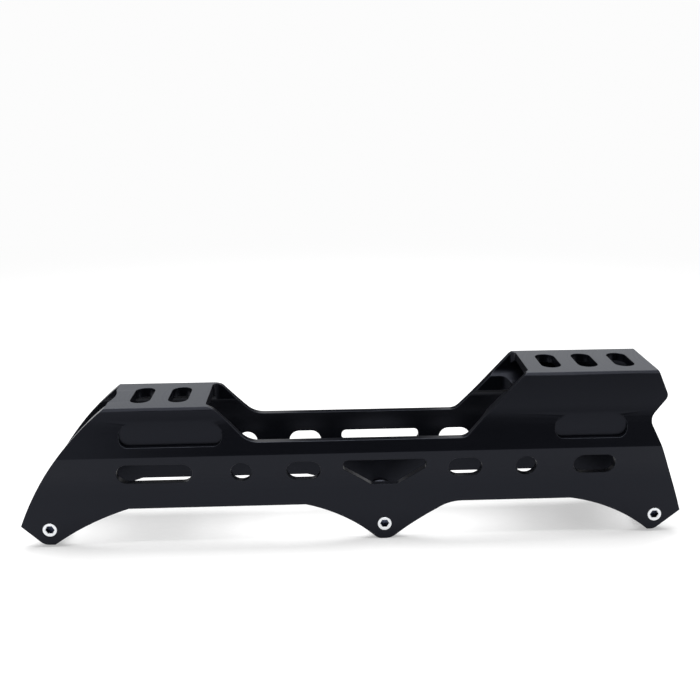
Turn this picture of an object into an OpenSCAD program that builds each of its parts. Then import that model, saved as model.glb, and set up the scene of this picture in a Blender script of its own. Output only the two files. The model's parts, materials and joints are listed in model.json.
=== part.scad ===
// Three-wheel inline skate frame: one milled channel, three axles and their bearing bushes.
// X runs from toe to heel, Y across, Z up. The origin is on the ground under the middle of the length.

/* [Wheels and axles] */
// Distance from the front axle to the middle axle
front_gap = 134.5; // [126:0.5:150]
// Distance from the middle axle to the rear axle
rear_gap = 111.5; // [108:0.5:130]
// How far the middle axle hangs below the line of the other two
rocker = 1; // [0:0.1:2.5]
// Radius of the cut that clears each wheel
wheel_clear_r = 56.5; // [54:0.25:57]
// Distance between the bosses, where a wheel's hub sits
hub_gap = 24.4; // [22:0.1:28]
// Diameter of the bosses inside the walls
boss_d = 12.2; // [11.5:0.1:13]
// Height of the bosses
boss_h = 1.6; // [0.8:0.1:2.5]
// Width of the bevel round the face of a boss
boss_bevel = 0.6; // [0.2:0.1:0.8]
// Height of that bevel
boss_bevel_h = 0.9; // [0.3:0.1:1.2]
// Diameter of an axle
axle_d = 6; // [5:0.1:7]
// Width across flats of the hex socket in an axle
socket_af = 3; // [2:0.1:3.6]
// Depth of the hex socket
socket_depth = 3; // [2:0.5:8]
// Radial clearance of an axle in its holes and in its bushes
axle_clear = 0.05; // [0.02:0.01:0.1]
// Bevel at the ends of an axle
axle_bevel = 0.25; // [0.2:0.05:0.8]

/* [Bearing bushes] */
// Outer diameter of a bush, which a wheel bearing sits on
bush_d = 8; // [7.6:0.1:10]
// Length of the sleeve of a bush
bush_len = 4; // [2:0.1:7]
// Diameter of the flange of a bush
flange_d = 11; // [10.2:0.1:12]
// Thickness of the flange
flange_t = 0.75; // [0.5:0.05:1.5]
// Bevel at the free end of a bush
bush_bevel = 0.25; // [0.1:0.05:0.4]
// Gap between a bush and what it stands against
bush_gap = 0.05; // [0.02:0.01:0.2]

/* [Side outline] */
// Rim of each lobe below its boss
lobe_rim = 0.4; // [0:0.05:2]
// Width of the flat at the bottom of a lobe
lobe_flat = 5.2; // [3:0.1:8]
// How far the arch behind the front lobe cuts into its flat
front_lobe_cut = 0.9; // [0:0.1:1.5]
// How far the heel edge cuts into the flat of the rear lobe
rear_lobe_cut = 2.4; // [0:0.1:2.6]
// Height of the bottom edge between the lobes above the axle line
belly_h = 8.4; // [6:0.1:12]
// Reach of the toe tip beyond the front axle
toe_reach = 11.2; // [9:0.1:16]
// Reach of the heel tip beyond the rear axle
heel_reach = 10.4; // [9:0.1:16]
// Height of the toe tip and the heel tip above the axle line
tip_h = 1.8; // [0.5:0.1:4]
// Radius of the long curve of the toe edge
toe_r = 120; // [80:1:400]
// Radius of the long curve of the heel edge
heel_r = 240; // [120:1:800]
// Height of the front deck above the axle line
front_deck_h = 50.6; // [47:0.1:56]
// Height of the rear deck above the axle line
rear_deck_h = 62; // [60:0.1:68]
// Height of the low rails between the decks above the axle line
rail_h = 36.3; // [33:0.1:40]
// Angle of the slope behind the front deck
front_slope = 46; // [38:1:60]
// Angle of the slope ahead of the rear deck
rear_slope = 47.5; // [40:0.5:60]
// Height of the notch in the heel edge above the axle line
notch_h = 42.2; // [40.5:0.1:43]
// Depth of the notch, from the bulge above it
notch_depth = 7; // [6:0.1:9]
// Height of the bulge in the heel edge above the axle line
bulge_h = 51.2; // [50:0.1:53]
// Overhang of the bulge past the end of the rear deck
bulge_reach = 4.7; // [3:0.1:6]

/* [Cross-section] */
// Thickness of the lower walls
wall = 3; // [2.2:0.1:4]
// How far the ridge stands out from the lower wall
ridge_out = 2.8; // [1.5:0.1:4]
// Height of the ridge above the axle line
ridge_h = 31.3; // [30:0.1:33]
// Thickness of the wall at the ridge
ridge_wall = 3.7; // [3:0.1:4.5]
// Height where the lower wall starts to flare out
flare_h = 19; // [16:0.5:22]
// Height where the upper wall stands upright again
upright_h = 43.5; // [42:0.1:45]
// How far the upper wall stands inside the lower wall
upper_in = 0.2; // [0:0.05:1]
// Thickness of the upper wall beside the box
upper_wall = 2.5; // [2:0.1:3.5]
// Thickness of the front deck plate
front_plate_t = 4; // [2.5:0.1:5]
// Height of the underside of the web below the box
web_h = 46.6; // [45.5:0.1:49]
// Thickness of the web under the box
web_t = 3; // [2:0.1:3.4]
// Thickness of the wall where it meets the web
neck_wall = 3.1; // [2.6:0.1:3.6]
// Thickness of the rear deck plate
rear_plate_t = 3.4; // [2.5:0.1:5]
// Radius of the upper corners inside the box
box_r = 2.4; // [1.5:0.1:3]
// Size of the splayed lower corners inside the box
box_splay = 4.2; // [3:0.1:4.6]
// Bevel along the outer edges of the decks
deck_bevel = 1; // [0.3:0.1:1.2]

/* [Mounts] */
// Distance from the front axle back to the middle of the front slots
front_mount = 45; // [43:0.5:50]
// Distance from the rear axle forward to the middle of the rear slots
rear_mount = 28.5; // [25:0.5:32]
// Distance between neighbouring slots
slot_pitch = 15; // [12:0.5:16]
// Width of a slot, along the frame
slot_w = 8; // [6:0.1:9]
// Length of a slot, across the frame
slot_len = 19; // [14:0.5:22]
// Deck ahead of the middle of the first front slot
front_deck_nose = 12.4; // [8:0.1:14]
// Deck behind the middle of the last front slot
front_deck_tail = 14.4; // [12:0.1:20]
// Deck ahead of the middle of the first rear slot
rear_deck_nose = 12; // [8:0.1:16]
// Deck behind the middle of the last rear slot
rear_deck_tail = 10.7; // [8:0.1:13]
// How far the front plate stops short of the slope behind it
front_plate_back = 2.6; // [1:0.1:4]
// How far the rear plate stops short of the slope ahead of it
rear_plate_back = 1.2; // [0.5:0.1:3]
// Depth of the scallop that clears the front wheel in the front edge of the front plate
scallop_depth = 1.5; // [0.5:0.1:3]
// Length of the scallop, across the frame
scallop_len = 16; // [10:0.5:22]

/* [Windows] */
// Height of the middle of the windows above the axle line
window_h = 23.7; // [23:0.1:25]
// Height of a slotted window and diameter of a round one
window_d = 8.4; // [6:0.1:9]
// Distance from the middle axle to the round windows
round_window_x = 57; // [52:0.5:60]
// Distance from the middle axle to the short windows
short_window_x = 32.3; // [30:0.1:36]
// Length of a short window
short_window_len = 13.6; // [10:0.1:18]
// Distance from the front axle back to the front end of the front window
front_window_x = 28.4; // [24:0.1:34]
// Distance from the rear axle forward to the rear end of the rear window
rear_window_x = 18.2; // [14:0.1:24]
// Wall between a round window and the long window beside it
window_bridge = 15; // [8:0.1:18]
// Length of the middle window at its top
middle_window_top = 33.2; // [26:0.1:38]
// Length of the middle window at its bottom
middle_window_base = 10.4; // [6:0.1:16]
// Height of the middle window
middle_window_height = 11.4; // [8:0.1:13]
// Height of the upright ends of the middle window
middle_window_end = 4; // [3.4:0.1:5]

/* [Pockets] */
// Height of the lower edge of the pockets above the axle line
pocket_h = 35.1; // [34:0.1:37]
// Depth of a pocket's floor outside the upper wall
pocket_skin = 0.1; // [0.05:0.05:0.6]
// Radius of the lower corners of a pocket
pocket_r = 3.5; // [1.5:0.1:5]
// Distance from the front axle back to the middle of the front pocket
front_pocket_x = 50.5; // [47:0.5:53]
// Length of the front pocket
front_pocket_len = 40; // [25:0.5:42]
// Distance from the rear axle forward to the middle of the rear pocket
rear_pocket_x = 29; // [27:0.5:32]
// Length of the rear pocket
rear_pocket_len = 29; // [20:0.5:34]

/* [Hidden] */
$fn = 64;

// How far the straight steps of a rounded outline may stray from the true curve
curve_tol = 0.02;
// Largest share of an edge that the rounding of one of its corners takes
corner_share = 0.49;
// Spare length by which a cut passes the face that it opens
over = 1;

// Places along the length, measured from the middle axle, and heights, measured from the axle line
front_axle_x = -front_gap;
rear_axle_x = rear_gap;
toe_x = front_axle_x - toe_reach;
heel_x = rear_axle_x + heel_reach;
lobe_h = -boss_d / 2 - lobe_rim;
middle_lobe_h = lobe_h - rocker;
front_slots = [for (i = [-0.5, 0.5]) front_axle_x + front_mount + i * slot_pitch];
rear_slots = [for (i = [-1, 0, 1]) rear_axle_x - rear_mount + i * slot_pitch];
front_deck_x0 = front_slots[0] - front_deck_nose;
front_deck_x1 = front_slots[1] + front_deck_tail;
rear_deck_x0 = rear_slots[0] - rear_deck_nose;
rear_deck_x1 = rear_slots[2] + rear_deck_tail;
front_foot_x = front_deck_x1 + (front_deck_h - rail_h) / tan(front_slope);
rear_foot_x = rear_deck_x0 - (rear_deck_h - rail_h) / tan(rear_slope);

// Half widths of the cross-section
hub_half = hub_gap / 2;
lower_in = hub_half + boss_h;
lower_out = lower_in + wall;
ridge_half = lower_out + ridge_out;
upper_out = lower_out - upper_in;
box_half = upper_out - upper_wall;
// Undersides of the front plate and of the rear plate, and the floor of the box between web and plate
front_under_h = front_deck_h - front_plate_t;
box_h0 = web_h + web_t;
box_h1 = rear_deck_h - rear_plate_t;

// Reach of the four rounded ends of the belly edge from their axles, and their radii
front_arch = [32, 110];
middle_front_arch = [31.8, 65];
middle_rear_arch = [26, 130];
rear_arch = [35.5, 67];
// Radii that round the corners of the outline
shoulder_r = 18;
lobe_r = 6;
front_deck_r = 5.5;
front_foot_r = 10;
rear_foot_r = 5;
rear_deck_r = 1;
bulge_r = 3;
notch_r = 5;
// Radii that round the cross-section
flare_r = 40;
ridge_r = 0.8;
well_r = 25;
neck_r = 5;
// Radii of the middle window's corners: top, side and base
middle_window_r = [2, 1.2, 2];
// Radius of the upper corners of a pocket
pocket_top_r = 4.5;
// Corner radii at the front end of the web, at the ends of the plates and in the splay of the box
web_end_r = 5;
plate_end_r = 2.5;
splay_r = 3;

// The part stands on its middle lobe, with the middle of its length over the origin
shift = [-(toe_x + heel_x) / 2, 0, -middle_lobe_h];
socket_r = socket_af / 2 / cos(30);
axle_half = lower_out;
bore_r = axle_d / 2 + axle_clear;

black = [0.11, 0.115, 0.125];
silver = [0.78, 0.79, 0.8];

// Points from a to b on an arc of radius r, which turns left where r is positive and right where it is negative
function arc(a, b, r) =
    let (d = b - a,
         len = norm(d),
         c = (a + b) / 2 + sign(r) * sqrt(max(r ^ 2 - len ^ 2 / 4, 0)) * [-d[1], d[0]] / len,
         a0 = atan2(a[1] - c[1], a[0] - c[0]),
         a1 = atan2(b[1] - c[1], b[0] - c[0]),
         sweep = (a1 - a0 + 900) % 360 - 180,
         steps = max(2, ceil(abs(sweep) / (2 * acos(1 - curve_tol / abs(r))))))
    [for (i = [0 : steps]) c + norm(a - c) * [cos(a0 + sweep * i / steps), sin(a0 + sweep * i / steps)]];

// Points that round the corner q between p and s with radius r, within nearly half of the shorter edge
function corner(p, q, s, r) =
    let (u = (p - q) / norm(p - q),
         v = (s - q) / norm(s - q),
         half = acos(u * v) / 2,
         reach = min(r / tan(half), corner_share * norm(p - q), corner_share * norm(s - q)),
         left = (q[0] - p[0]) * (s[1] - q[1]) - (q[1] - p[1]) * (s[0] - q[0]))
    arc(q + reach * u, q + reach * v, sign(left) * reach * tan(half));

// A closed outline with each of its corners rounded by its own radius
function rounded(points, radii) =
    let (n = len(points))
    [for (i = [0 : n - 1])
        each radii[i] > 0
            ? corner(points[(i + n - 1) % n], points[i], points[(i + 1) % n], radii[i])
            : [points[i]]];

// The last point of a list, and the list without its first or without its last point
function last(points) = points[len(points) - 1];

function later(points) = [for (i = [1 : len(points) - 1]) points[i]];

function sooner(points) = [for (i = [0 : len(points) - 2]) points[i]];

// A half outline on the right, closed by its mirror image on the left
function mirrored(half) = concat(half, [for (i = [len(half) - 1 : -1 : 0]) [-half[i][0], half[i][1]]]);

// The flat at the bottom of a lobe, from its end on the heel side
function lobe(x, h, cut) = [[x + lobe_flat / 2 - cut, h], [x - lobe_flat / 2, h]];

// Side outline, from the toe over the decks to the heel and back along the belly
function side_outline() =
    let (front_deck = [[front_deck_x0, front_deck_h], [front_deck_x1, front_deck_h]],
         front_foot = [front_foot_x, rail_h],
         rear_foot = [rear_foot_x, rail_h],
         rear_deck = [[rear_deck_x0, rear_deck_h], [rear_deck_x1, rear_deck_h]],
         bulge = [rear_deck_x1 + bulge_reach, bulge_h],
         notch = [bulge[0] - notch_depth, notch_h],
         heel = [heel_x, tip_h],
         toe = [toe_x, tip_h],
         rear_lobe = lobe(rear_axle_x, lobe_h, rear_lobe_cut),
         middle_lobe = lobe(0, middle_lobe_h, 0),
         front_lobe = lobe(front_axle_x, lobe_h, front_lobe_cut),
         belly = [[rear_axle_x - rear_arch[0], belly_h],
                  [middle_rear_arch[0], belly_h],
                  [-middle_front_arch[0], belly_h],
                  [front_axle_x + front_arch[0], belly_h]],
         notch_curve = corner(bulge, notch, heel, notch_r),
         shoulder = corner(belly[0], belly[1], middle_lobe[0], shoulder_r),
         middle_rear_edge = arc(last(shoulder), middle_lobe[0], middle_rear_arch[1]),
         middle_front_edge = arc(middle_lobe[1], belly[2], middle_front_arch[1]))
    concat(arc(toe, front_deck[0], -toe_r),
           corner(front_deck[0], front_deck[1], front_foot, front_deck_r),
           corner(front_deck[1], front_foot, rear_foot, front_foot_r),
           corner(front_foot, rear_foot, rear_deck[0], rear_foot_r),
           corner(rear_foot, rear_deck[0], rear_deck[1], rear_deck_r),
           [rear_deck[1]],
           corner(rear_deck[1], bulge, notch, bulge_r),
           notch_curve,
           later(arc(last(notch_curve), heel, -heel_r)),
           corner(heel, rear_lobe[0], rear_lobe[1], lobe_r),
           arc(rear_lobe[1], belly[0], rear_arch[1]),
           shoulder,
           later(sooner(middle_rear_edge)),
           corner(last(sooner(middle_rear_edge)), middle_lobe[0], middle_lobe[1], lobe_r),
           corner(middle_lobe[0], middle_lobe[1], middle_front_edge[1], lobe_r),
           later(middle_front_edge),
           arc(belly[3], front_lobe[0], front_arch[1]),
           corner(front_lobe[0], front_lobe[1], toe, lobe_r));

// Cross-section of the solid bar, with its ridge and its bevelled top edges
function bar_section() =
    let (base = [lower_out, middle_lobe_h - over],
         flare = [lower_out, flare_h],
         ridge = [ridge_half, ridge_h],
         upright = [upper_out, upright_h],
         top = [upper_out, rear_deck_h - deck_bevel])
    mirrored(concat([base],
                    corner(base, flare, ridge, flare_r),
                    corner(flare, ridge, upright, ridge_r),
                    corner(ridge, upright, top, flare_r),
                    [top, [upper_out - deck_bevel, rear_deck_h]]));

// Cross-section of the well between the walls, up to the given ceiling
function well_section(ceiling) =
    let (base = [lower_in, middle_lobe_h - 2 * over],
         flare = [lower_in, flare_h],
         ridge = [ridge_half - ridge_wall, ridge_h],
         neck = [upper_out - neck_wall, ceiling])
    mirrored(concat([base],
                    corner(base, flare, ridge, flare_r),
                    corner(flare, ridge, neck, well_r),
                    corner(ridge, neck, [0, ceiling], neck_r)));

// Cross-section of the box under the rear deck, with its splayed lower corners
function box_section() =
    let (floor = [box_half - box_splay, box_h0],
         splay = [box_half, box_h0 + box_splay],
         top = [box_half, box_h1])
    mirrored(concat(corner([0, box_h0], floor, splay, splay_r),
                    corner(floor, splay, top, splay_r),
                    corner(splay, top, [0, box_h1], box_r)));

// Half section of a boss from its bevelled face into the wall
function boss_section() =
    let (r = boss_d / 2,
         end = boss_h + over / 2)
    [[0, 0], [r - boss_bevel, 0], [r, boss_bevel_h], [r, end], [0, end]];

// Drawn in the side view and carried through in Y
module through(width) rotate([90, 0, 0]) linear_extrude(width, center = true) children();

// Drawn in the end view and carried from x0 to x1
module along(x0, x1) translate([x0, 0, 0]) rotate([90, 0, 90]) linear_extrude(x1 - x0) children();

// A slot with round ends, its length along the first axis, and a circle where it is no longer than wide
module stadium(length, width) {
    straight = max(length - width, 0);
    if (straight > 0)
        square([straight, width], center = true);
    for (side = [-1, 1])
        translate([side * straight / 2, 0]) circle(d = width);
}

module bar() {
    intersection() {
        through(2 * ridge_half + 2 * over) polygon(side_outline());
        along(toe_x - over, heel_x + over) polygon(bar_section());
    }
}

// A round bar across the frame, centred on an axle
module across(x, h, r, width) translate([x, 0, h]) rotate([90, 0, 0]) cylinder(r = r, h = width, center = true);

// The axles, as their place along the length and their height
axles = [[front_axle_x, 0], [0, -rocker], [rear_axle_x, 0]];

// The bosses inside the walls, within the side outline
module bosses() {
    intersection() {
        through(2 * ridge_half) polygon(side_outline());
        for (a = axles)
            for (side = [-1, 1])
                translate([a[0], side * hub_half, a[1]])
                    rotate([-90 * side, 0, 0]) rotate_extrude() polygon(boss_section());
    }
}

// The well under the front plate and, behind the slope, the well under the rails and the web
module wells() {
    along(toe_x - 2 * over, front_foot_x) polygon(well_section(front_under_h));
    along(front_foot_x, heel_x + 2 * over) polygon(well_section(web_h));
}

module wheel_cuts() {
    for (a = axles)
        across(a[0], a[1], wheel_clear_r, hub_gap);
}

// A cut between the walls with its two corners at x1 rounded, from height h0 to h1
module end_cut(x0, x1, half, r, h0, h1) {
    translate([0, 0, h0])
        linear_extrude(h1 - h0)
            polygon(rounded([[x0, -half], [x1, -half], [x1, half], [x0, half]], [0, r, r, 0]));
}

// The box, open at both ends, and the web cut back to the front edge of the rear deck
module rear_box() {
    x0 = rear_foot_x - over;
    along(x0, heel_x + over) polygon(box_section());
    end_cut(x0, rear_deck_x0, hub_half, web_end_r, web_h - 2 * over, box_h0 + box_splay);
}

// The plates end upright between the walls, short of the slopes
module plate_ends() {
    front_end = front_deck_x1 - front_plate_back;
    rear_end = rear_deck_x0 + rear_plate_back;
    end_cut(front_foot_x, front_end, box_half, plate_end_r, upright_h, front_deck_h + over);
    end_cut(rear_foot_x - over, rear_end, box_half, plate_end_r, box_h1 - box_r - over, rear_deck_h + over);
}

// The shallow arc in the front edge of the front plate
module scallop() {
    half = scallop_len / 2;
    r = (half ^ 2 + scallop_depth ^ 2) / (2 * scallop_depth);
    x = front_deck_x0;
    translate([0, 0, front_under_h - over])
        linear_extrude(front_plate_t + 2 * over)
            polygon(concat([[x - over, half], [x - over, -half]], arc([x, -half], [x, half], r)));
}

module mount_slots() {
    for (x = front_slots)
        translate([x, 0, front_under_h - over])
            rotate(90) linear_extrude(front_plate_t + 2 * over) stadium(slot_len, slot_w);
    for (x = rear_slots)
        translate([x, 0, box_h1 - over])
            rotate(90) linear_extrude(rear_plate_t + 2 * over) stadium(slot_len, slot_w);
}

module windows() {
    bridge_x = round_window_x + window_d / 2 + window_bridge;
    slotted = [[front_axle_x + front_window_x, -bridge_x],
               [-short_window_x - short_window_len / 2, -short_window_x + short_window_len / 2],
               [short_window_x - short_window_len / 2, short_window_x + short_window_len / 2],
               [bridge_x, rear_axle_x - rear_window_x]];
    for (w = slotted)
        through(2 * ridge_half + 2 * over)
            translate([(w[0] + w[1]) / 2, window_h]) stadium(w[1] - w[0], window_d);
    for (side = [-1, 1])
        across(side * round_window_x, window_h, window_d / 2, 2 * ridge_half + 2 * over);
    top = window_h + window_d / 2;
    base = top - middle_window_height;
    corners = [[middle_window_top / 2, top], [middle_window_top / 2, top - middle_window_end],
               [middle_window_base / 2, base]];
    through(2 * ridge_half + 2 * over)
        polygon(rounded(mirrored(corners), [for (i = [0, 1, 2, 2, 1, 0]) middle_window_r[i]]));
}

// A flat floor milled into the sloping upper wall, level with the upright wall above it
module pockets() {
    pocket_list = [[front_axle_x + front_pocket_x, front_pocket_len],
                   [rear_axle_x - rear_pocket_x, rear_pocket_len]];
    floor_y = upper_out + pocket_skin;
    depth = ridge_half - floor_y + over;
    for (p = pocket_list)
        for (side = [-1, 1])
            translate([p[0], side * (floor_y + depth / 2), 0])
                through(depth)
                    polygon(rounded([[-p[1] / 2, pocket_h], [p[1] / 2, pocket_h],
                                     [p[1] / 2, upright_h + over], [-p[1] / 2, upright_h + over]],
                                    [pocket_r, pocket_r, pocket_top_r, pocket_top_r]));
}

// Bevels along the two outer edges of the front deck
module front_deck_bevels() {
    along(toe_x - over, (front_foot_x + rear_foot_x) / 2)
        for (side = [-1, 1])
            translate([side * upper_out, front_deck_h]) rotate(45) square(deck_bevel * sqrt(2), center = true);
}

module axle_holes() {
    for (a = axles)
        across(a[0], a[1], bore_r, 2 * ridge_half + 2 * over);
}

module frame_body() {
    color(black)
        translate(shift)
            difference() {
                union() {
                    difference() {
                        bar();
                        wells();
                        wheel_cuts();
                        rear_box();
                        plate_ends();
                        scallop();
                    }
                    bosses();
                }
                mount_slots();
                windows();
                pockets();
                front_deck_bevels();
                axle_holes();
            }
}

// A round pin, flush with both walls, with bevelled ends and a hex socket in its -Y end
module axle(a) {
    r = axle_d / 2;
    color(silver)
        translate(shift + [a[0], 0, a[1]])
            rotate([90, 0, 0])
                difference() {
                    rotate_extrude()
                        polygon([[0, -axle_half], [r - axle_bevel, -axle_half], [r, axle_bevel - axle_half],
                                 [r, axle_half - axle_bevel], [r - axle_bevel, axle_half], [0, axle_half]]);
                    translate([0, 0, axle_half - socket_depth])
                        cylinder(r = socket_r, h = socket_depth + over, $fn = 6);
                }
}

// A flanged bush with its sleeve end at the given Y, its flange on the side that the sign gives
module bush(a, y, flange_side) {
    ri = bore_r;
    rs = bush_d / 2;
    rf = flange_d / 2;
    color(silver)
        translate(shift + [a[0], y, a[1]])
            rotate([-90 * flange_side, 0, 0])
                rotate_extrude()
                    polygon([[ri, 0], [rs - bush_bevel, 0], [rs, bush_bevel], [rs, bush_len], [rf, bush_len],
                             [rf, bush_len + flange_t], [ri, bush_len + flange_t]]);
}

// The outer bush stands on the -Y boss and the inner one stands against it, flange to flange
module outer_bush(a) bush(a, -hub_half + bush_gap, 1);

module inner_bush(a) bush(a, -hub_half + 2 * bush_gap + 2 * (bush_len + flange_t), -1);

frame_body();
axle(axles[0]);  // front_axle
outer_bush(axles[0]);  // front_outer_bush
inner_bush(axles[0]);  // front_inner_bush
axle(axles[1]);  // middle_axle
outer_bush(axles[1]);  // middle_outer_bush
inner_bush(axles[1]);  // middle_inner_bush
axle(axles[2]);  // rear_axle
outer_bush(axles[2]);  // rear_outer_bush
inner_bush(axles[2]);  // rear_inner_bush
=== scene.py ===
# %% [markdown]
# # A three-wheel inline skate frame
# The frame carries three wheels under a skate boot. One bar of aluminium is milled into a channel with
# two decks, bead blasted and anodised black. Three steel axles cross the channel, and a pair of flanged
# bushes on each axle carries the bearings of a wheel. The solids come packed from the CAD model. This
# lesson dresses them: softened edges, turned details, finishes, light and a camera.

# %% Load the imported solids
import json
import math

import bmesh
import bpy
from mathutils import Matrix, Vector

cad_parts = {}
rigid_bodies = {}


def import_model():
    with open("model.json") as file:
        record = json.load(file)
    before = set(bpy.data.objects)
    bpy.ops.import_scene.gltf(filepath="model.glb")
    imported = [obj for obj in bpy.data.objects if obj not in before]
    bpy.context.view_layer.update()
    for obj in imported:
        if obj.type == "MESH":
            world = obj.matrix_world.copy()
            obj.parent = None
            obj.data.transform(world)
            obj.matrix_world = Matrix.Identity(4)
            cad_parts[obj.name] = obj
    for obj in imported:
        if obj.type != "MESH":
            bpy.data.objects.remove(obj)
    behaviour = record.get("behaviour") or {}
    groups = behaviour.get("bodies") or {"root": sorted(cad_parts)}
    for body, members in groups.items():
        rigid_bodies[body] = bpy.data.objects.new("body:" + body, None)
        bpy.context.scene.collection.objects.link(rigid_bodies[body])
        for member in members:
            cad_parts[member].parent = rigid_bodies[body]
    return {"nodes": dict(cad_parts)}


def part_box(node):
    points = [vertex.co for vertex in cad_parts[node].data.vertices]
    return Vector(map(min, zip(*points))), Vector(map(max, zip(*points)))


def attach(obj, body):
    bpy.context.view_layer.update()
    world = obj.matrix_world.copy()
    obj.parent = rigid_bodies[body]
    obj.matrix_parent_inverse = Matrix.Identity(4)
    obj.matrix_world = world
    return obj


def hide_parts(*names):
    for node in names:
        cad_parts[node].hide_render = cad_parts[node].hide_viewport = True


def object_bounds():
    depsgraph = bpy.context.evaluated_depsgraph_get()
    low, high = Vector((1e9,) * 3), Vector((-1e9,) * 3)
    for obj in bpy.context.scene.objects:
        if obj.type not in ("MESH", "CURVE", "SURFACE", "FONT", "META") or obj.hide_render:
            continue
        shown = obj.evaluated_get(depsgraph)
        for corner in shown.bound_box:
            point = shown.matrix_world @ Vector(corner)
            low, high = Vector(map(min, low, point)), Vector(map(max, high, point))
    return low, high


MM = 0.001
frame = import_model()
cad_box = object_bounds()
print("solids:", ", ".join(sorted(frame["nodes"])))
print("box in mm:", [round(v / MM, 2) for v in cad_box[1] - cad_box[0]])

# %% [markdown]
# ## Helpers for every finish
# Colours are easiest to judge as the sRGB hex values of a colour picker, but shaders add light in linear
# values, so one function turns the first into the second. Another adds one shader node, sets it and links
# it. With it, a finish reads from top to bottom as a list of what the eye sees.


# %% Colour and node helpers
def linear(hex_colour):
    """The linear colour of an sRGB hex value, with an alpha of 1."""
    channels = [int(hex_colour[i : i + 2], 16) / 255 for i in (1, 3, 5)]
    return [c / 12.92 if c <= 0.04045 else ((c + 0.055) / 1.055) ** 2.4 for c in channels] + [1.0]


def add(owner, kind, inputs=None, **settings):
    """Adds a node to a material or world, with settings, and inputs that are values or sockets to link."""
    node = owner.node_tree.nodes.new(kind)
    for name, value in settings.items():
        setattr(node, name, value)
    for name, value in (inputs or {}).items():
        if isinstance(value, bpy.types.NodeSocket):
            owner.node_tree.links.new(value, node.inputs[name])
        else:
            node.inputs[name].default_value = value
    return node


def new_finish(name):
    """An empty material and its texture coordinates."""
    finish = bpy.data.materials.new(name)
    finish.use_nodes = True
    finish.node_tree.nodes.clear()
    return finish, add(finish, "ShaderNodeTexCoord").outputs


def per_mm(size_mm):
    """The scale of a texture whose features are this many millimetres apart, on coordinates in metres."""
    return 1 / (size_mm * MM)


print("mid grey #808080 is", round(linear("#808080")[0], 3), "in linear light")

# %% [markdown]
# ## The marks of the facing cutter
# The tops of both decks are milled flat by a wide cutter that feeds along the bar and leaves the same arc
# again and again. Rings from a texture would all share one centre. So each point is followed along its
# arc to the centre line, and a pattern of one dimension is laid there. Only faces that are level and high
# enough are decks.

# %% Cutter arcs on the decks
CUTTER_R_MM = 26
FEED_MM = 0.9  # a real feed is about 0.3 mm, drawn coarser so that it shows
DECK_MM = 57.6  # both decks lie above this height and the web lies below it
LEVEL_FROM, LEVEL_FULL = 0.97, 0.999  # a normal's upward part, where a face starts to be level and fully is


def faced_decks(finish, coords):
    """Where a point lies on a deck, and the cutter's arcs there."""
    place = add(finish, "ShaderNodeSeparateXYZ", {0: coords["Object"]})
    across = add(finish, "ShaderNodeMath", {0: place.outputs["Y"], 1: 2}, operation="POWER")
    chord = add(finish, "ShaderNodeMath", {0: (CUTTER_R_MM * MM) ** 2, 1: across.outputs[0]},
                operation="SUBTRACT")
    reach = add(finish, "ShaderNodeMath", {0: chord.outputs[0]}, operation="SQRT")
    pass_x = add(finish, "ShaderNodeMath", {0: place.outputs["X"], 1: reach.outputs[0]}, operation="ADD")
    arcs = add(finish, "ShaderNodeTexNoise", {"W": pass_x.outputs[0], "Scale": per_mm(FEED_MM), "Detail": 0},
               noise_dimensions="1D")
    normal = add(finish, "ShaderNodeSeparateXYZ", {0: coords["Normal"]})
    level = add(finish, "ShaderNodeMapRange",
                {"Value": normal.outputs["Z"], "From Min": LEVEL_FROM, "From Max": LEVEL_FULL})
    high = add(finish, "ShaderNodeMath", {0: place.outputs["Z"], 1: DECK_MM * MM}, operation="GREATER_THAN")
    deck = add(finish, "ShaderNodeMath", {0: level.outputs[0], 1: high.outputs[0]}, operation="MULTIPLY")
    return deck.outputs[0], arcs.outputs["Fac"]


print("a cutter of", 2 * CUTTER_R_MM, "mm leaves an arc every", FEED_MM, "mm")

# %% [markdown]
# ## Black anodised aluminium
# Anodising grows a thin clear oxide on the metal and dyes it black. The eye gets a dark satin body,
# slightly blue, that turns light grey where it mirrors a bright room at a low angle, as on the decks. So
# the shader is a dark dielectric rather than a metal. Three traces of the making stay visible under the
# dye: fine bead-blasted grain, faint lines along the bar from its extrusion, and the cutter's arcs on the
# decks. The decks also get a lighter colour, a painted reflection of the bright room in place of part of
# their sheen. The edges have been handled most, so they are duller, and lighter from wear and from a
# painted highlight.

# %% Anodised finish
GRAIN_MM = 0.5  # real blasting is about 0.1 mm, drawn coarser so that it shows
DRAW_LINE_MM = 0.7
DRAW_STRETCH = 0.02  # a line is fifty times as long as it is wide
CLOUD_MM = 22
# The third colour, for the decks, is a painted reflection of the bright room on their tops; the last is edge
# wear with a painted highlight
DYE, THIN_DYE, DECK_PAINTED_SHEEN, WORN_AND_HIGHLIT_EDGE = "#08090d", "#0d0e13", "#20242b", "#2c2e33"
# The edges' lighter colour is partly wear and partly a painted highlight
WORN_FROM, WORN_FULL = 0.42, 0.62  # the part of the clouds in which the wear of the edges sets in
SATIN_LOW, SATIN_HIGH, WORN_DULLER = 0.28, 0.34, 0.08  # roughness, and what wear adds to it
TRACE_DEPTH = 0.6  # depth of the lines and arcs beside that of the grain
RELIEF, RELIEF_MM = 0.1, 0.05  # strength and depth of the surface's relief
SHINE, SHINE_TINT = 0.21, "#e2e8ff"  # specular level and colour of the clear oxide


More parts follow.
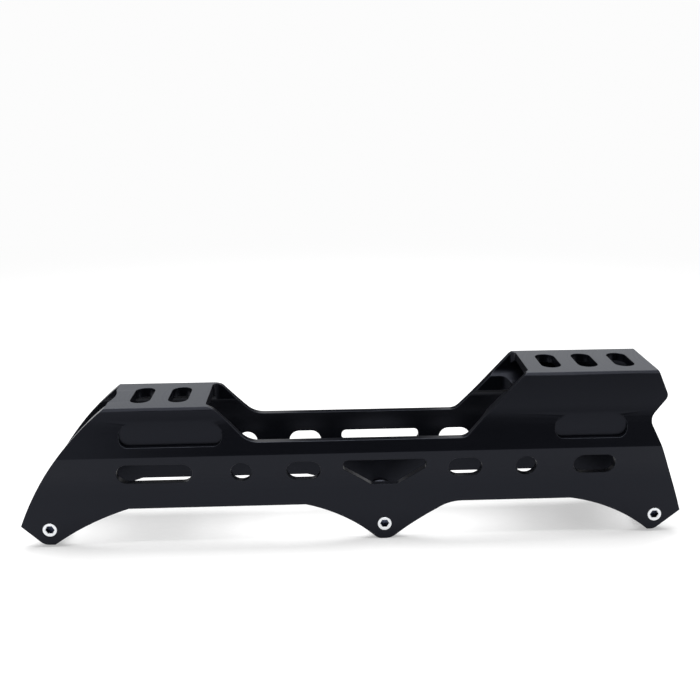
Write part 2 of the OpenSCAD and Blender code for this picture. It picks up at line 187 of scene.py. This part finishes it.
def anodised_aluminium():
    """Dyed oxide with grain, drawn lines, cutter's arcs, painted deck sheen, and worn edges with a painted
    highlight.
    """
    finish, coords = new_finish("black_anodised_aluminium")
    grain = add(finish, "ShaderNodeTexNoise",
                {"Vector": coords["Object"], "Scale": per_mm(GRAIN_MM), "Detail": 2})
    cloud = add(finish, "ShaderNodeTexNoise",
                {"Vector": coords["Object"], "Scale": per_mm(CLOUD_MM), "Detail": 3})
    drawn = add(finish, "ShaderNodeMapping", {"Vector": coords["Object"], "Scale": (DRAW_STRETCH, 1, 1)})
    lines = add(finish, "ShaderNodeTexNoise",
                {"Vector": drawn.outputs[0], "Scale": per_mm(DRAW_LINE_MM), "Detail": 1})
    deck, arcs = faced_decks(finish, coords)
    trace = add(finish, "ShaderNodeMix", {"Factor": deck, "A": lines.outputs["Fac"], "B": arcs},
                data_type="FLOAT")

    # Edges: lighter from wear and from a painted highlight, and duller from wear
    edge = add(finish, "ShaderNodeAttribute", attribute_name="edge")
    rubbed_and_highlit = add(finish, "ShaderNodeMapRange",
                 {"Value": cloud.outputs["Fac"], "From Min": WORN_FROM, "From Max": WORN_FULL})
    edge_wear_and_highlight = add(finish, "ShaderNodeMath", {0: edge.outputs["Fac"], 1: rubbed_and_highlit.outputs[0]},
               operation="MULTIPLY")

    dye = add(finish, "ShaderNodeMix",
              {"Factor": cloud.outputs["Fac"], "A": linear(DYE), "B": linear(THIN_DYE)}, data_type="RGBA")
    # Painted reflection: the decks get a lighter colour in place of part of their sheen
    dye_and_deck_sheen = add(finish, "ShaderNodeMix",
                {"Factor": deck, "A": dye.outputs["Result"], "B": linear(DECK_PAINTED_SHEEN)}, data_type="RGBA")
    colour = add(finish, "ShaderNodeMix",
                 {"Factor": edge_wear_and_highlight.outputs[0], "A": dye_and_deck_sheen.outputs["Result"], "B": linear(WORN_AND_HIGHLIT_EDGE)},
                 data_type="RGBA")
    satin = add(finish, "ShaderNodeMapRange",
                {"Value": trace.outputs["Result"], "To Min": SATIN_LOW, "To Max": SATIN_HIGH})
    dull = add(finish, "ShaderNodeMath", {0: edge_wear_and_highlight.outputs[0], 1: WORN_DULLER, 2: satin.outputs[0]},
               operation="MULTIPLY_ADD")
    height = add(finish, "ShaderNodeMath",
                 {0: trace.outputs["Result"], 1: TRACE_DEPTH, 2: grain.outputs["Fac"]},
                 operation="MULTIPLY_ADD")
    relief = add(finish, "ShaderNodeBump",
                 {"Height": height.outputs[0], "Strength": RELIEF, "Distance": RELIEF_MM * MM})
    shader = add(finish, "ShaderNodeBsdfPrincipled",
                 {"Base Color": colour.outputs["Result"], "Roughness": dull.outputs[0],
                  "Specular IOR Level": SHINE, "Specular Tint": linear(SHINE_TINT),
                  "Normal": relief.outputs[0]})
    add(finish, "ShaderNodeOutputMaterial", {"Surface": shader.outputs[0]})
    return finish


black_anodised = anodised_aluminium()
print(black_anodised.name, "has", len(black_anodised.node_tree.nodes), "nodes")

# %% [markdown]
# ## The frame body
# The solid from the CAD is exact but its edges are knife sharp, and no milled and blasted part is. Its
# mesh comes as loose triangles. A copy is merged, its flat faces are made whole again, and every edge
# that turns by more than 30 degrees is bevelled. Bevelling a copy keeps every hole where the CAD has it.
# The bevel faces are marked in an attribute, where the finish puts wear and a painted highlight.

# %% Bevel a copy of the body
EDGE_BREAK_MM = 0.15
BREAK_STEPS = 2
ROOM_MM = 0.8  # an edge beside a face that is narrower than this stays as it is
MERGE_MM = 0.002
SHARP = math.radians(30)
FLAT = math.radians(0.05)

bm = bmesh.new()
bm.from_mesh(frame["nodes"]["frame_body"].data)
edge_layer = bm.faces.layers.float.new("edge")
bmesh.ops.remove_doubles(bm, verts=bm.verts, dist=MERGE_MM * MM)
bmesh.ops.dissolve_limit(bm, angle_limit=FLAT, verts=bm.verts, edges=bm.edges)
bmesh.ops.dissolve_degenerate(bm, dist=EDGE_BREAK_MM * MM, edges=bm.edges)
bm.normal_update()
sharp_edges = [e for e in bm.edges if e.is_convex and e.calc_face_angle(0) > SHARP
               and min(f.calc_area() for f in e.link_faces) > ROOM_MM * MM * e.calc_length()]
bmesh.ops.triangulate(bm, faces=[f for f in bm.faces if len(f.verts) > 4])
bevelled = bmesh.ops.bevel(bm, geom=sharp_edges, offset=EDGE_BREAK_MM * MM, offset_type="OFFSET",
                           segments=BREAK_STEPS, profile=0.5, affect="EDGES", material=-1,
                           clamp_overlap=False)
for face in bevelled["faces"]:
    face[edge_layer] = 1.0
print("body:", len(sharp_edges), "edges bevelled,", len(bm.faces), "faces")

# %% [markdown]
# ## Smooth and sharp
# The walls are curved and the pockets' floors are flat, so the shading has to run smoothly over the first
# and stop at the rim of the second. An edge stays smooth inside a bevel, or where two faces meet gently
# and both or neither lie on the floor of a pocket. A weighted-normal modifier then keeps the large faces
# flat up to their bevels.

# %% Shade the body and hand it over
CREASE = math.radians(24)
POCKET_Y_MM = 16.7  # distance of the pockets' floors from the centre plane
POCKET_TOL_MM = 0.001


def in_pocket(face):
    """Whether a face lies on the flat floor of a pocket."""
    return all(abs(abs(v.co.y) - POCKET_Y_MM * MM) < POCKET_TOL_MM * MM for v in face.verts)


def to_object(bm, name, body, node, finish):
    """Makes the mesh an object that stands for a CAD node and rides on a body."""
    mesh = bpy.data.meshes.new(name)
    bm.to_mesh(mesh)
    bm.free()
    mesh.materials.append(finish)
    piece = bpy.data.objects.new(name, mesh)
    bpy.context.scene.collection.objects.link(piece)
    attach(piece, body)
    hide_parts(node)
    return piece


for face in bm.faces:
    face.smooth = True
for edge in bm.edges:
    first, second = edge.link_faces
    bevel_sides = first[edge_layer] + second[edge_layer]
    gentle = edge.calc_face_angle(0) < CREASE and in_pocket(first) == in_pocket(second)
    edge.smooth = bevel_sides == 2 or (bevel_sides == 0 and gentle)
print("body:", sum(not e.smooth for e in bm.edges), "sharp edges of", len(bm.edges))
body = to_object(bm, "milled_body", "frame", "frame_body", black_anodised)
flat_faces = body.modifiers.new("flat_faces", "WEIGHTED_NORMAL")
flat_faces.keep_sharp = True

# %% [markdown]
# ## Turned steel
# The axles and bushes are turned on a lathe. The tool leaves fine rings round the axis, which catch the
# light as a soft bright band. The ring pattern has to be centred on each axle, so a Mapping node moves
# the coordinates to the axle first, and each axle has a finish of its own. The sockets get a dark blue
# grey colour, a painted shade of their deep holes, so the faces of a socket are marked in an attribute.

# %% Turned finish
RING_MM = 0.35  # real turning marks are about 0.08 mm apart, drawn coarser so that they show
RING_RELIEF, RING_RELIEF_MM = 0.15, 0.02
RING_ROUGHNESS = 0.06  # how far the rings move the roughness to either side
# A dark blue grey painted into the sockets as the shade of their deep holes
SOCKET_PAINTED_SHADE = "#4a5062"


def turned_steel(name, axis_at, light, dark, roughness):
    """Bright steel with rings round an axis, and painted shade on the faces that are marked as a socket."""
    finish, coords = new_finish(name)
    centred = add(finish, "ShaderNodeMapping", {"Vector": coords["Object"], "Location": -axis_at})
    place = add(finish, "ShaderNodeSeparateXYZ", {0: centred.outputs[0]})
    flat = add(finish, "ShaderNodeCombineXYZ", {"X": place.outputs["X"], "Y": place.outputs["Z"]})
    radius = add(finish, "ShaderNodeVectorMath", {0: flat.outputs[0]}, operation="LENGTH")
    # On the sides only the place along the axis changes, and on the ends only the radius
    turn = add(finish, "ShaderNodeMath", {0: radius.outputs["Value"], 1: place.outputs["Y"]},
               operation="ADD")
    rings = add(finish, "ShaderNodeTexNoise", {"W": turn.outputs[0], "Scale": per_mm(RING_MM), "Detail": 2},
                noise_dimensions="1D")
    bright = add(finish, "ShaderNodeMix",
                 {"Factor": rings.outputs["Fac"], "A": linear(dark), "B": linear(light)}, data_type="RGBA")
    # Painted shade: the socket's faces take the dark colour
    socket = add(finish, "ShaderNodeAttribute", attribute_name="socket")
    colour = add(finish, "ShaderNodeMix",
                 {"Factor": socket.outputs["Fac"], "A": bright.outputs["Result"], "B": linear(SOCKET_PAINTED_SHADE)},
                 data_type="RGBA")
    sheen = add(finish, "ShaderNodeMapRange",
                {"Value": rings.outputs["Fac"], "To Min": roughness - RING_ROUGHNESS,
                 "To Max": roughness + RING_ROUGHNESS})
    relief = add(finish, "ShaderNodeBump",
                 {"Height": rings.outputs["Fac"], "Strength": RING_RELIEF, "Distance": RING_RELIEF_MM * MM})
    shader = add(finish, "ShaderNodeBsdfPrincipled",
                 {"Base Color": colour.outputs["Result"], "Metallic": 1, "Roughness": sheen.outputs[0],
                  "Normal": relief.outputs[0]})
    add(finish, "ShaderNodeOutputMaterial", {"Surface": shader.outputs[0]})
    return finish


PLACES = ["front", "middle", "rear"]
AXLE_LIGHT, AXLE_DARK, AXLE_ROUGHNESS = "#eceef0", "#d4d6da", 0.26
BUSH_LIGHT, BUSH_DARK, BUSH_ROUGHNESS = "#dfe1e4", "#c4c7cb", 0.3
axis_at, axle_steel, bush_steel = {}, {}, {}
for place in PLACES:
    low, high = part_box(f"{place}_axle")
    at = (low + high) / 2
    axis_at[place] = at
    axle_steel[place] = turned_steel(f"{place}_axle_steel", at, AXLE_LIGHT, AXLE_DARK, AXLE_ROUGHNESS)
    bush_steel[place] = turned_steel(f"{place}_bush_steel", at, BUSH_LIGHT, BUSH_DARK, BUSH_ROUGHNESS)
    print(place, "axle at", [round(v / MM, 2) for v in at])

# %% [markdown]
# ## The axles
# An axle is a headless pin of 6 mm with a hex socket for a key in its near end and a thread in its far
# end, which screws into the far wall. A lathe part is best made as a lathe makes it: half an outline,
# spun round the axis. The sizes are in millimetres, and the Y axis runs along the pin from its middle. The
# length comes from the solid. The thickness is a plain value, because the solid's facets lie a little inside
# the true circle.

# %% Spin the pin
low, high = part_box("front_axle")
AXLE_HALF = (high.y - low.y) / 2 / MM
AXLE_R = 3.0
END_BEVEL, END_FLAT = 0.25, 0.1
END_EASE, END_BLEND = 0.06, 0.1  # how much the bevel's outer corner is softened, across and along the pin
THREAD_LEN, THREAD_ROOT = 5.2, 2.62
RUN_OUT, TIP_BEVEL = 0.4, 0.5
SPIN_STEPS = 48
WELD_MM = 0.001
ALONG = Vector((0, 1, 0))


def spun(bm, outline, closed):
    """Spins an outline of radius and place along the axis, in millimetres, once round the Y axis."""
    verts = [bm.verts.new((r * MM, y * MM, 0)) for r, y in outline]
    pairs = list(zip(verts, verts[1:])) + ([(verts[-1], verts[0])] if closed else [])
    edges = [bm.edges.new(pair) for pair in pairs]
    bmesh.ops.spin(bm, geom=verts + edges, cent=(0, 0, 0), axis=ALONG, dvec=(0, 0, 0), angle=2 * math.pi,
                   steps=SPIN_STEPS, use_merge=True, use_duplicate=False)
    bmesh.ops.remove_doubles(bm, verts=bm.verts, dist=WELD_MM * MM)


def spin_pin(bm):
    """The pin from the rim of its open near end to its closed far end."""
    near, far = -AXLE_HALF, AXLE_HALF
    spun(bm, [(AXLE_R - END_BEVEL - END_FLAT, near), (AXLE_R - END_BEVEL, near),
              (AXLE_R - END_EASE, near + END_BEVEL - END_EASE), (AXLE_R, near + END_BEVEL + END_BLEND),
              (AXLE_R, far - THREAD_LEN - RUN_OUT), (THREAD_ROOT, far - THREAD_LEN),
              (THREAD_ROOT, far - TIP_BEVEL), (THREAD_ROOT - TIP_BEVEL, far), (0, far)], closed=False)


print("pin:", 2 * AXLE_R, "mm thick,", round(2 * AXLE_HALF, 2), "mm long")

# %% [markdown]
# ## The hex socket
# A key turns the axle in a socket with six flats. Cutting a prism out of the pin with a boolean would
# leave long thin faces, so the open ring at the near end is extruded inwards instead, and each new ring
# is moved onto a hexagon: first a lead-in bevel, then straight flats, and at last the shallow cone that a
# drill leaves.

# %% Extrude the socket
SOCKET_AF, SOCKET_DEPTH, SOCKET_CONE = 3.0, 2.4, 0.2
SOCKET_LEAD = 0.25
SOCKET_CORNER_R = SOCKET_AF / 2 / math.cos(math.pi / 6)


def extruded_to_hex(bm, ring, across_flats, y):
    """Extrudes an open ring of edges onto a hexagon round the Y axis and returns the new open ring."""
    made = bmesh.ops.extrude_edge_only(bm, edges=ring)["geom"]
    for vert in [v for v in made if isinstance(v, bmesh.types.BMVert)]:
        turn = math.atan2(vert.co.z, vert.co.x)
        off_flat = turn % (math.pi / 3) - math.pi / 6
        reach = across_flats * MM / 2 / math.cos(off_flat)
        vert.co = (reach * math.cos(turn), y * MM, reach * math.sin(turn))
    return [e for e in bm.edges if e.is_boundary]


def sink_socket(bm):
    """Extrudes the pin's open end into the socket and marks the socket's faces."""
    socket_layer = bm.faces.layers.float.new("socket")
    lead_y = -AXLE_HALF + SOCKET_LEAD
    floor_y = lead_y + SOCKET_DEPTH
    tip_y = floor_y + SOCKET_CONE
    ring = [e for e in bm.edges if e.is_boundary]
    for width, y in ((SOCKET_AF + 2 * SOCKET_LEAD, -AXLE_HALF), (SOCKET_AF, lead_y), (SOCKET_AF, floor_y)):
        ring = extruded_to_hex(bm, ring, width, y)
    tip = bmesh.ops.extrude_edge_only(bm, edges=ring)["geom"]
    bmesh.ops.pointmerge(bm, verts=[v for v in tip if isinstance(v, bmesh.types.BMVert)],
                         merge_co=(0, tip_y * MM, 0))
    for face in bm.faces:
        middle = face.calc_center_median() / MM
        face[socket_layer] = float(lead_y < middle.y < tip_y and middle.xz.length < SOCKET_CORNER_R)


print("socket:", SOCKET_AF, "mm across flats,", round(2 * SOCKET_CORNER_R, 2), "mm across corners")

# %% [markdown]
# ## The thread
# A thread is one ridge that climbs round the core by one pitch a turn. A bump texture would vanish from
# the outline, so a small profile is spun with a climb. Its foot is sunk a little into the core, so that
# no gap shows.

# %% Wind the thread and finish the axles
THREAD_PITCH, THREAD_CREST = 0.75, 2.96
RIDGE_HALF = 0.44 * THREAD_PITCH  # the ridge's foot is a little narrower than the pitch
CREST_HALF, FOOT_SINK = 0.06, 0.1
THREAD_STEPS = SPIN_STEPS / 2  # in one turn


def wind_thread(bm):
    """Spins the ridge of the thread along the core at the far end."""
    start = AXLE_HALF - THREAD_LEN + RIDGE_HALF
    profile = [(THREAD_ROOT - FOOT_SINK, -RIDGE_HALF), (THREAD_CREST, -CREST_HALF),
               (THREAD_CREST, CREST_HALF), (THREAD_ROOT - FOOT_SINK, RIDGE_HALF)]
    ridge = [bm.verts.new((r * MM, (start + y) * MM, 0)) for r, y in profile]
    cap = bm.faces.new(ridge)
    turns = (THREAD_LEN - TIP_BEVEL - 2 * RIDGE_HALF) / THREAD_PITCH
    steps = round(turns * THREAD_STEPS)
    climb = THREAD_PITCH * turns / steps * MM
    bmesh.ops.spin(bm, geom=ridge + list(cap.edges) + [cap], cent=(0, 0, 0), axis=ALONG, dvec=(0, climb, 0),
                   angle=turns * 2 * math.pi, steps=steps, use_duplicate=False)


def set_down(bm, centre):
    """Turns the faces outwards, shades them smoothly and moves the mesh to its place."""
    bmesh.ops.recalc_face_normals(bm, faces=bm.faces)
    for face in bm.faces:
        face.smooth = True
    bmesh.ops.translate(bm, verts=bm.verts, vec=centre)


for place in PLACES:
    bm = bmesh.new()
    spin_pin(bm)
    sink_socket(bm)
    wind_thread(bm)
    set_down(bm, axis_at[place])
    print(place, "axle:", len(bm.faces), "faces")
    node = f"{place}_axle"
    axle = to_object(bm, f"{node}_pin", node, node, axle_steel[place])
    axle.data.set_sharp_from_angle(angle=SHARP)

# %% [markdown]
# ## The bearing bushes
# A bush steps the axle up from 6 mm to the 8 mm bore of a bearing, and its flange spaces the bearing from
# the wall. It is a closed outline spun once round: two bevelled ends, a flange with broken edges and the
# narrow groove that a turner cuts in the inner corner so that the bearing seats flat.

# %% Spin the bushes
low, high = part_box("front_outer_bush")
BUSH_LEN = (high.y - low.y) / MM
BUSH_BORE_R, SLEEVE_R, FLANGE_R = 3.06, 4.0, 5.5
FLANGE_T = 0.75
SLEEVE_LEN = BUSH_LEN - FLANGE_T
BREAK, LEAD = 0.12, 0.25
GROOVE_W, GROOVE_D = 0.35, 0.12


def bush_mesh(centre, sleeve_end_y, side):
    """A bush whose sleeve starts at a place along the axis and whose flange lies on the given side."""
    groove_y, groove_r = SLEEVE_LEN - GROOVE_W, SLEEVE_R - GROOVE_D
    outline = [(BUSH_BORE_R + BREAK, 0), (SLEEVE_R - LEAD, 0), (SLEEVE_R, LEAD),
               (SLEEVE_R, groove_y), (groove_r, groove_y + GROOVE_D), (groove_r, SLEEVE_LEN),
               (FLANGE_R - BREAK, SLEEVE_LEN), (FLANGE_R, SLEEVE_LEN + BREAK),
               (FLANGE_R, BUSH_LEN - BREAK), (FLANGE_R - BREAK, BUSH_LEN),
               (BUSH_BORE_R + BREAK, BUSH_LEN), (BUSH_BORE_R, BUSH_LEN - BREAK), (BUSH_BORE_R, BREAK)]
    bm = bmesh.new()
    spun(bm, outline, closed=True)
    bmesh.ops.scale(bm, verts=bm.verts, vec=(1, side, 1))
    set_down(bm, (centre.x, sleeve_end_y, centre.z))
    return bm


for place in PLACES:
    for which, side in (("outer", 1), ("inner", -1)):
        node = f"{place}_{which}_bush"
        low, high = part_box(node)
        bm = bush_mesh(axis_at[place], low.y if side > 0 else high.y, side)
        print(node, "has", len(bm.faces), "faces")
        bush = to_object(bm, f"{node}_turned", node, node, bush_steel[place])
        bush.data.set_sharp_from_angle(angle=SHARP)

# %% [markdown]
# ## The floor
# The picture is a plain studio shot on white. The floor is pale paper that takes a soft shadow. Part of
# its white is its own, seen only by the camera, by mirrors and through glass, so the shadow stays soft
# and no extra light falls on the object. Further out the paper's own white takes over, so that the floor
# runs into the room without a seam.

# %% Paper floor
FLOOR_M = 12
OWN_WHITE, PAPER = 0.38, 0.62
PAPER_ROUGHNESS = 0.9
WHITE = 0.973  # the picture's white, #fcfcfc
NEAR_M, FAR_M = 0.2, 0.8  # between these distances the light on the paper gives way to its own white


def seen_rays(owner):
    """1 for what the camera, a mirror or glass sees, and 0 for the light that falls on things."""
    rays = add(owner, "ShaderNodeLightPath").outputs
    mirror = add(owner, "ShaderNodeMath", {0: rays["Is Camera Ray"], 1: rays["Is Glossy Ray"]},
                 operation="ADD")
    seen = add(owner, "ShaderNodeMath", {0: mirror.outputs[0], 1: rays["Is Transmission Ray"]},
               operation="ADD", use_clamp=True)
    return seen.outputs[0]


def pale_paper():
    """Paper that takes a shadow near the object and is plain white further out."""
    finish, coords = new_finish("pale_paper")
    away = add(finish, "ShaderNodeVectorMath", {0: coords["Object"]}, operation="LENGTH")
    span = {"Value": away.outputs["Value"], "From Min": NEAR_M, "From Max": FAR_M}
    own = add(finish, "ShaderNodeMapRange", {**span, "To Min": OWN_WHITE, "To Max": WHITE},
              interpolation_type="SMOOTHSTEP")
    strength = add(finish, "ShaderNodeMath", {0: seen_rays(finish), 1: own.outputs[0]}, operation="MULTIPLY")
    lit = add(finish, "ShaderNodeMapRange", {**span, "To Min": PAPER, "To Max": 0},
              interpolation_type="SMOOTHSTEP")
    shader = add(finish, "ShaderNodeBsdfPrincipled",
                 {"Base Color": lit.outputs[0], "Roughness": PAPER_ROUGHNESS, "Specular IOR Level": 0.0,
                  "Emission Color": linear("#ffffff"), "Emission Strength": strength.outputs[0]})
    add(finish, "ShaderNodeOutputMaterial", {"Surface": shader.outputs[0]})
    return finish


def staged(bm, name, finish):
    """Makes the mesh an object with this finish, which isn't part of the skate frame."""
    mesh = bpy.data.meshes.new(name)
    bm.to_mesh(mesh)
    bm.free()
    mesh.materials.append(finish)
    thing = bpy.data.objects.new(name, mesh)
    bpy.context.scene.collection.objects.link(thing)
    return thing


bm = bmesh.new()
bmesh.ops.create_grid(bm, x_segments=1, y_segments=1, size=FLOOR_M / 2)
staged(bm, "floor", pale_paper())
print("floor", FLOOR_M, "m wide, own white", OWN_WHITE)

# %% [markdown]
# ## The room
# The room beyond the floor is white to the camera and to mirrors, and dim to all other rays, so it gives
# the object a bright room to mirror without lighting it from every side.

# %% White room
DIM = 0.35
room = bpy.data.worlds.new("white_room")
room.use_nodes = True
room.node_tree.nodes.clear()
level = add(room, "ShaderNodeMapRange", {"Value": seen_rays(room), "To Min": DIM, "To Max": WHITE})
sky = add(room, "ShaderNodeBackground", {"Color": linear("#ffffff"), "Strength": level.outputs[0]})
add(room, "ShaderNodeOutputWorld", {"Surface": sky.outputs[0]})
bpy.context.scene.world = room
print("room", WHITE, "bright to the camera and to mirrors,", DIM, "to the rest")

# %% [markdown]
# ## The softbox
# A small black part is best lit by one large soft source from above. An area lamp is such a softbox, and
# its size sets how soft the shadows are. It hangs above the object and a little behind it, lights the
# decks and the floor, and shows as bright lines on the bevels that mirror it.

# %% Softbox
SOFTBOX_AT = Vector((0.0, 0.1, 0.95))
SOFTBOX_WIDTH, SOFTBOX_DEPTH, SOFTBOX_WATTS = 1.0, 0.7, 14
centre = (cad_box[0] + cad_box[1]) / 2
lamp = bpy.data.lights.new("top_softbox", "AREA")
lamp.shape = "RECTANGLE"
lamp.size, lamp.size_y, lamp.energy = SOFTBOX_WIDTH, SOFTBOX_DEPTH, SOFTBOX_WATTS
softbox = bpy.data.objects.new("top_softbox", lamp)
softbox.location = SOFTBOX_AT
softbox.rotation_euler = (centre - SOFTBOX_AT).to_track_quat("-Z", "Y").to_euler()
bpy.context.scene.collection.objects.link(softbox)
print("softbox", round((centre - SOFTBOX_AT).length, 2), "m from the object")

# %% [markdown]
# ## The dark cards
# Black metal shows what it mirrors, and in an all-white room it would look grey. So a photographer sets
# dark cards out of sight. The walls that lean upwards mirror the card behind the camera and turn nearly
# black, while the walls that lean downwards mirror the pale floor. A narrow card behind the object
# darkens the slopes beside the decks. Only mirrors see the cards, so they throw no shadow.

# %% Dark cards
card_finish, _ = new_finish("black_card")
card_shader = add(card_finish, "ShaderNodeBsdfPrincipled",
                  {"Base Color": linear("#101010"), "Roughness": 1.0})
add(card_finish, "ShaderNodeOutputMaterial", {"Surface": card_shader.outputs[0]})


def dark_card(name, at, width, height, lean):
    """A card of this size round a place, turned up from lying flat by this angle."""
    bm = bmesh.new()
    # A grid of size 0.5 is 1 m wide, so the matrix gives the card its own width and height
    bmesh.ops.create_grid(bm, x_segments=1, y_segments=1, size=0.5,
                          matrix=Matrix.Translation(at) @ Matrix.Rotation(math.radians(lean), 4, "X")
                          @ Matrix.Diagonal((width, height, 1, 1)))
    card = staged(bm, name, card_finish)
    card.visible_camera = False
    card.visible_diffuse = False
    card.visible_shadow = False
    print(name, "of", width, "by", height, "m")


dark_card("front_card", at=(0.07, -0.655, 0.42), width=0.46, height=1.18, lean=-45.3)
dark_card("rear_card", at=(0.01, 0.12, 0.12), width=0.08, height=0.24, lean=90)

# %% [markdown]
# ## Camera
# The place, angle and lens were worked out from the axles, slots and edges in the picture. The picture
# was cropped off centre, which a small lens shift gives back.

# %% Camera
SENSOR_MM, LENS_MM = 36, 47.45
SHIFT_X, SHIFT_Y = -0.0286, -0.0016
CAMERA_AT_MM = Vector((-9.52, -358.31, 177.84))
CAMERA_TURN = (74.131, 0.301, -2.738)  # degrees

lens = bpy.data.cameras.new("camera")
lens.sensor_width = SENSOR_MM
lens.lens = LENS_MM
lens.shift_x, lens.shift_y = SHIFT_X, SHIFT_Y
camera = bpy.data.objects.new("camera", lens)
camera.location = CAMERA_AT_MM * MM
camera.rotation_euler = [math.radians(a) for a in CAMERA_TURN]
bpy.context.scene.collection.objects.link(camera)
bpy.context.scene.camera = camera
bpy.context.scene.view_settings.view_transform = "Standard"
print("camera", round(camera.location.length, 3), "m from the origin")
